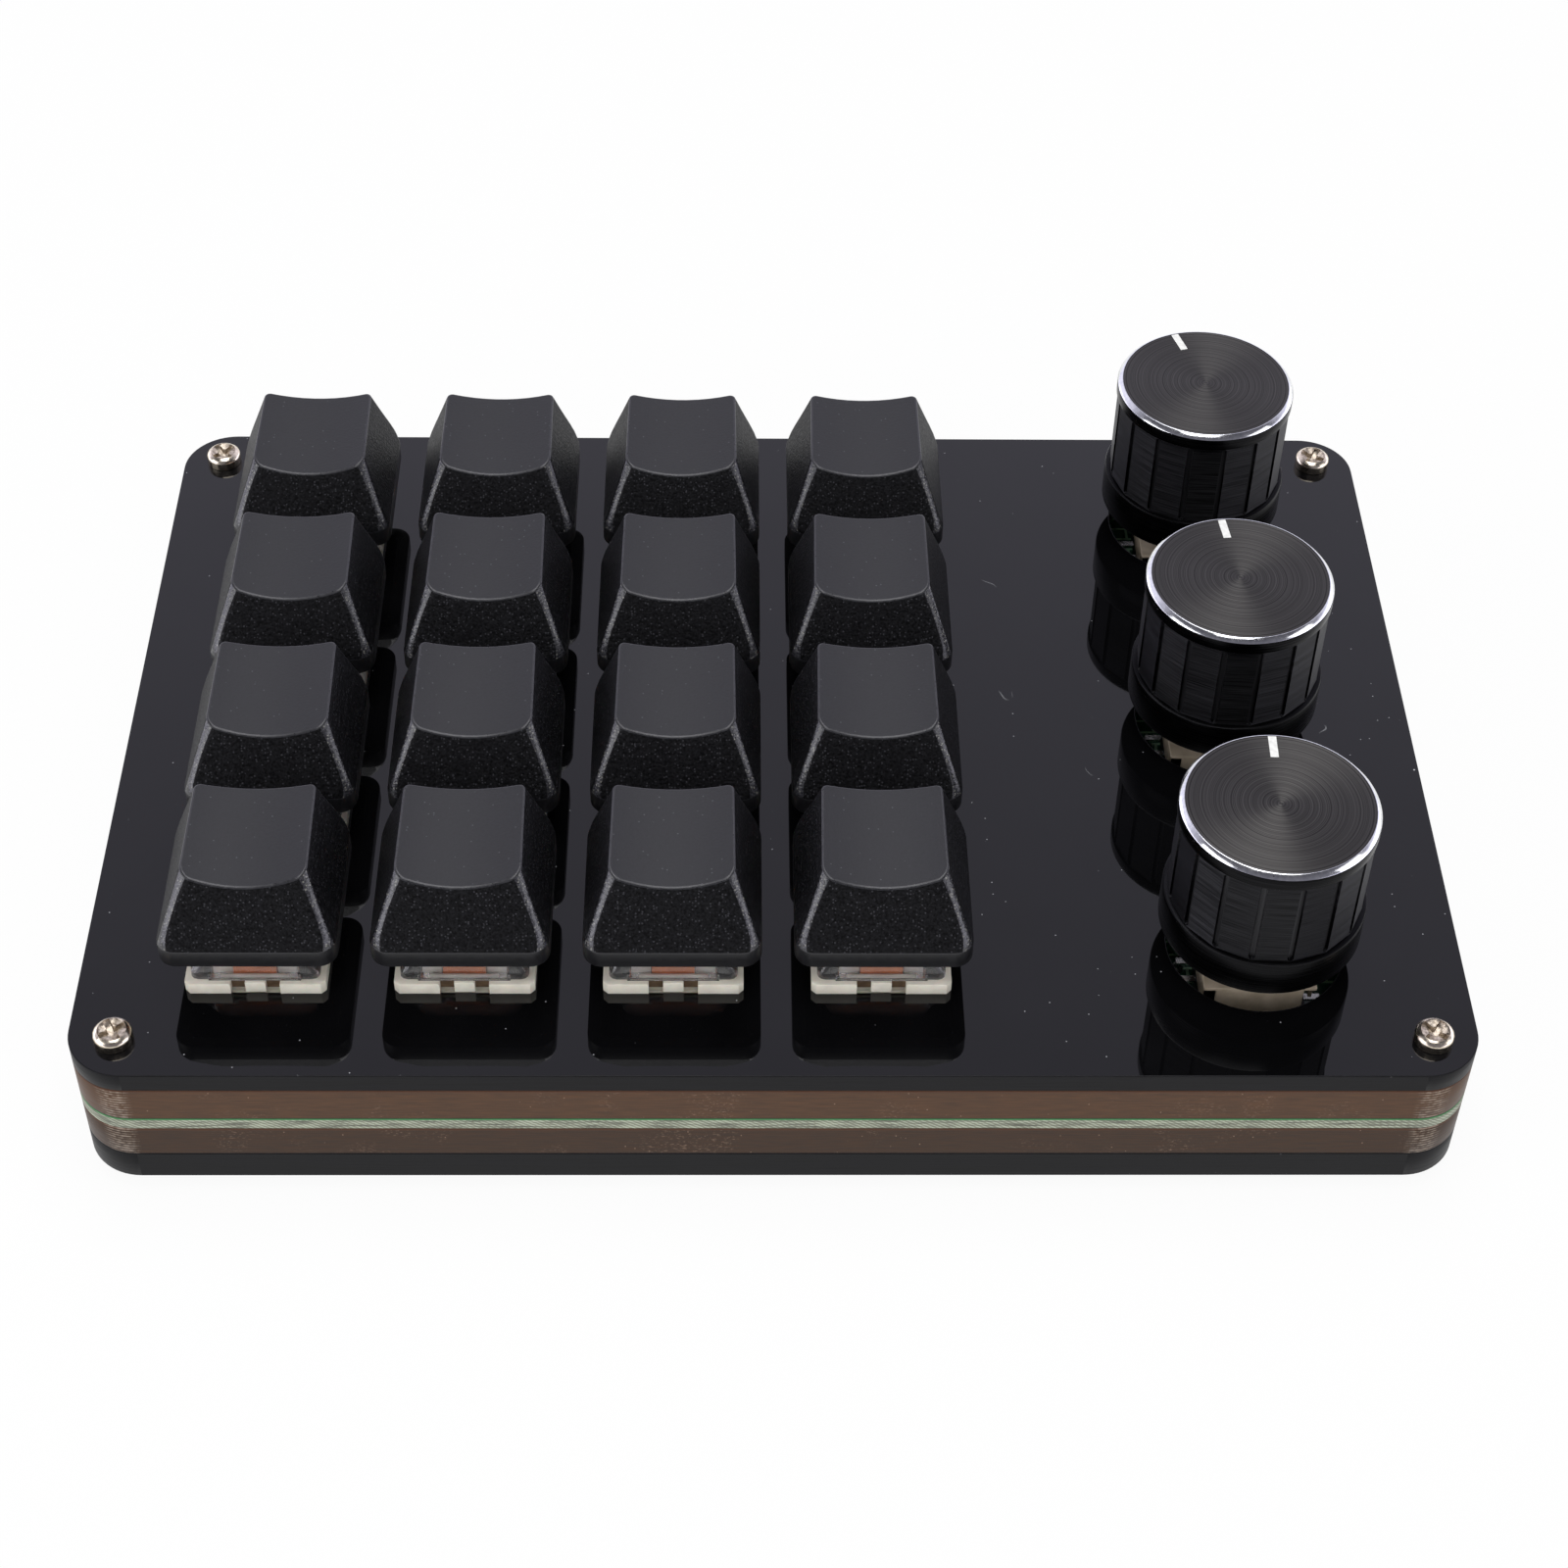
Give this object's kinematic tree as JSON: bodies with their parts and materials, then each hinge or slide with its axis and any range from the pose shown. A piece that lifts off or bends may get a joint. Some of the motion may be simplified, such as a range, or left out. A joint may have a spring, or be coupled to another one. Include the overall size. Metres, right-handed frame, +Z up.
{
  "type": "macro keypad with knobs",
  "caption": "Desk macro keypad: square grid of dished mechanical keys beside a column of fluted push-and-turn knobs, on a screwed acrylic sandwich with an open edge.",
  "frame": {"origin": "middle of the footprint, on the surface that the feet stand on", "axes": "+X along the long side towards the knobs, +Y to the back, +Z up"},
  "size_m": [0.1442, 0.1016, 0.0404],
  "materials": {
    "black_acrylic": "polished black acrylic sheet, sharp reflections",
    "brown_acrylic": "smoked brown translucent acrylic, laser-cut edge",
    "fibreglass_board": "pale green-white fibreglass edge under green solder mask",
    "plated_steel": "bright plated steel shell",
    "chip_resin": "moulded black resin",
    "nickel_screw": "bright nickel plating",
    "foot_rubber": "soft black rubber",
    "cream_housing": "satin cream moulded plastic",
    "clear_housing": "clear moulded polycarbonate",
    "spring_steel": "bright spring wire",
    "contact_brass": "bright brass strip",
    "encoder_resin": "moulded black resin",
    "tinned_sheet": "tinned steel sheet",
    "bushing_zinc": "die-cast zinc",
    "terminal_brass": "tinned brass strip",
    "black_keycap": "matt moulded black plastic, fine spark-eroded slopes",
    "orange_stem": "orange moulded acetal",
    "shaft_aluminium": "turned aluminium",
    "black_anodised": "black anodised aluminium with a bright cut ring"
  },
  "bodies": {
    "chassis": {"top_plate": "black_acrylic", "upper_spacer": "brown_acrylic", "circuit_board": "fibreglass_board", "lower_spacer": "brown_acrylic", "bottom_plate": "black_acrylic", "usb_socket": "plated_steel", "controller_chip": "chip_resin", "screws": "nickel_screw", "nuts": "nickel_screw", "feet": "foot_rubber", "switch_bases": "cream_housing", "switch_tops": "clear_housing", "switch_springs": "spring_steel", "switch_contacts": "contact_brass", "encoder_bases": "encoder_resin", "encoder_covers": "tinned_sheet", "encoder_bushings": "bushing_zinc", "encoder_domes": "spring_steel", "encoder_terminals": "terminal_brass"},
    "key_1_1": {"keycap_1_1": "black_keycap", "stem_1_1": "orange_stem"},
    "key_1_2": {"keycap_1_2": "black_keycap", "stem_1_2": "orange_stem"},
    "key_1_3": {"keycap_1_3": "black_keycap", "stem_1_3": "orange_stem"},
    "key_1_4": {"keycap_1_4": "black_keycap", "stem_1_4": "orange_stem"},
    "key_2_1": {"keycap_2_1": "black_keycap", "stem_2_1": "orange_stem"},
    "key_2_2": {"keycap_2_2": "black_keycap", "stem_2_2": "orange_stem"},
    "key_2_3": {"keycap_2_3": "black_keycap", "stem_2_3": "orange_stem"},
    "key_2_4": {"keycap_2_4": "black_keycap", "stem_2_4": "orange_stem"},
    "key_3_1": {"keycap_3_1": "black_keycap", "stem_3_1": "orange_stem"},
    "key_3_2": {"keycap_3_2": "black_keycap", "stem_3_2": "orange_stem"},
    "key_3_3": {"keycap_3_3": "black_keycap", "stem_3_3": "orange_stem"},
    "key_3_4": {"keycap_3_4": "black_keycap", "stem_3_4": "orange_stem"},
    "key_4_1": {"keycap_4_1": "black_keycap", "stem_4_1": "orange_stem"},
    "key_4_2": {"keycap_4_2": "black_keycap", "stem_4_2": "orange_stem"},
    "key_4_3": {"keycap_4_3": "black_keycap", "stem_4_3": "orange_stem"},
    "key_4_4": {"keycap_4_4": "black_keycap", "stem_4_4": "orange_stem"},
    "rotor_1": {"rotor_1": "encoder_resin"},
    "dial_1": {"shaft_1": "shaft_aluminium", "knob_1": "black_anodised"},
    "rotor_2": {"rotor_2": "encoder_resin"},
    "dial_2": {"shaft_2": "shaft_aluminium", "knob_2": "black_anodised"},
    "rotor_3": {"rotor_3": "encoder_resin"},
    "dial_3": {"shaft_3": "shaft_aluminium", "knob_3": "black_anodised"}
  },
  "joints": [
    {"name": "key_1_1_press", "type": "slide", "parent": "chassis", "child": "key_1_1", "axis": [0, 0, -1], "range_m": [0, 0.004], "stiffness_N_per_m": 72, "springref_m": -0.005, "deforming": ["switch_springs"]},
    {"name": "key_1_2_press", "type": "slide", "parent": "chassis", "child": "key_1_2", "axis": [0, 0, -1], "range_m": [0, 0.004], "stiffness_N_per_m": 72, "springref_m": -0.005, "deforming": ["switch_springs"]},
    {"name": "key_1_3_press", "type": "slide", "parent": "chassis", "child": "key_1_3", "axis": [0, 0, -1], "range_m": [0, 0.004], "stiffness_N_per_m": 72, "springref_m": -0.005, "deforming": ["switch_springs"]},
    {"name": "key_1_4_press", "type": "slide", "parent": "chassis", "child": "key_1_4", "axis": [0, 0, -1], "range_m": [0, 0.004], "stiffness_N_per_m": 72, "springref_m": -0.005, "deforming": ["switch_springs"]},
    {"name": "key_2_1_press", "type": "slide", "parent": "chassis", "child": "key_2_1", "axis": [0, 0, -1], "range_m": [0, 0.004], "stiffness_N_per_m": 72, "springref_m": -0.005, "deforming": ["switch_springs"]},
    {"name": "key_2_2_press", "type": "slide", "parent": "chassis", "child": "key_2_2", "axis": [0, 0, -1], "range_m": [0, 0.004], "stiffness_N_per_m": 72, "springref_m": -0.005, "deforming": ["switch_springs"]},
    {"name": "key_2_3_press", "type": "slide", "parent": "chassis", "child": "key_2_3", "axis": [0, 0, -1], "range_m": [0, 0.004], "stiffness_N_per_m": 72, "springref_m": -0.005, "deforming": ["switch_springs"]},
    {"name": "key_2_4_press", "type": "slide", "parent": "chassis", "child": "key_2_4", "axis": [0, 0, -1], "range_m": [0, 0.004], "stiffness_N_per_m": 72, "springref_m": -0.005, "deforming": ["switch_springs"]},
    {"name": "key_3_1_press", "type": "slide", "parent": "chassis", "child": "key_3_1", "axis": [0, 0, -1], "range_m": [0, 0.004], "stiffness_N_per_m": 72, "springref_m": -0.005, "deforming": ["switch_springs"]},
    {"name": "key_3_2_press", "type": "slide", "parent": "chassis", "child": "key_3_2", "axis": [0, 0, -1], "range_m": [0, 0.004], "stiffness_N_per_m": 72, "springref_m": -0.005, "deforming": ["switch_springs"]},
    {"name": "key_3_3_press", "type": "slide", "parent": "chassis", "child": "key_3_3", "axis": [0, 0, -1], "range_m": [0, 0.004], "stiffness_N_per_m": 72, "springref_m": -0.005, "deforming": ["switch_springs"]},
    {"name": "key_3_4_press", "type": "slide", "parent": "chassis", "child": "key_3_4", "axis": [0, 0, -1], "range_m": [0, 0.004], "stiffness_N_per_m": 72, "springref_m": -0.005, "deforming": ["switch_springs"]},
    {"name": "key_4_1_press", "type": "slide", "parent": "chassis", "child": "key_4_1", "axis": [0, 0, -1], "range_m": [0, 0.004], "stiffness_N_per_m": 72, "springref_m": -0.005, "deforming": ["switch_springs"]},
    {"name": "key_4_2_press", "type": "slide", "parent": "chassis", "child": "key_4_2", "axis": [0, 0, -1], "range_m": [0, 0.004], "stiffness_N_per_m": 72, "springref_m": -0.005, "deforming": ["switch_springs"]},
    {"name": "key_4_3_press", "type": "slide", "parent": "chassis", "child": "key_4_3", "axis": [0, 0, -1], "range_m": [0, 0.004], "stiffness_N_per_m": 72, "springref_m": -0.005, "deforming": ["switch_springs"]},
    {"name": "key_4_4_press", "type": "slide", "parent": "chassis", "child": "key_4_4", "axis": [0, 0, -1], "range_m": [0, 0.004], "stiffness_N_per_m": 72, "springref_m": -0.005, "deforming": ["switch_springs"]},
    {"name": "dial_1_turn", "type": "hinge", "parent": "chassis", "child": "rotor_1", "pos_m": [0.0505, 0.0351, 0.0164], "axis": [0, 0, 1], "continuous": true},
    {"name": "dial_1_press", "type": "slide", "parent": "rotor_1", "child": "dial_1", "axis": [0, 0, -1], "range_m": [0, 0.0005], "stiffness_N_per_m": 3000, "springref_m": -0.001, "deforming": ["encoder_domes"]},
    {"name": "dial_2_turn", "type": "hinge", "parent": "chassis", "child": "rotor_2", "pos_m": [0.0505, 0.0011, 0.0164], "axis": [0, 0, 1], "continuous": true},
    {"name": "dial_2_press", "type": "slide", "parent": "rotor_2", "child": "dial_2", "axis": [0, 0, -1], "range_m": [0, 0.0005], "stiffness_N_per_m": 3000, "springref_m": -0.001, "deforming": ["encoder_domes"]},
    {"name": "dial_3_turn", "type": "hinge", "parent": "chassis", "child": "rotor_3", "pos_m": [0.0505, -0.0329, 0.0164], "axis": [0, 0, 1], "continuous": true},
    {"name": "dial_3_press", "type": "slide", "parent": "rotor_3", "child": "dial_3", "axis": [0, 0, -1], "range_m": [0, 0.0005], "stiffness_N_per_m": 3000, "springref_m": -0.001, "deforming": ["encoder_domes"]}
  ]
}
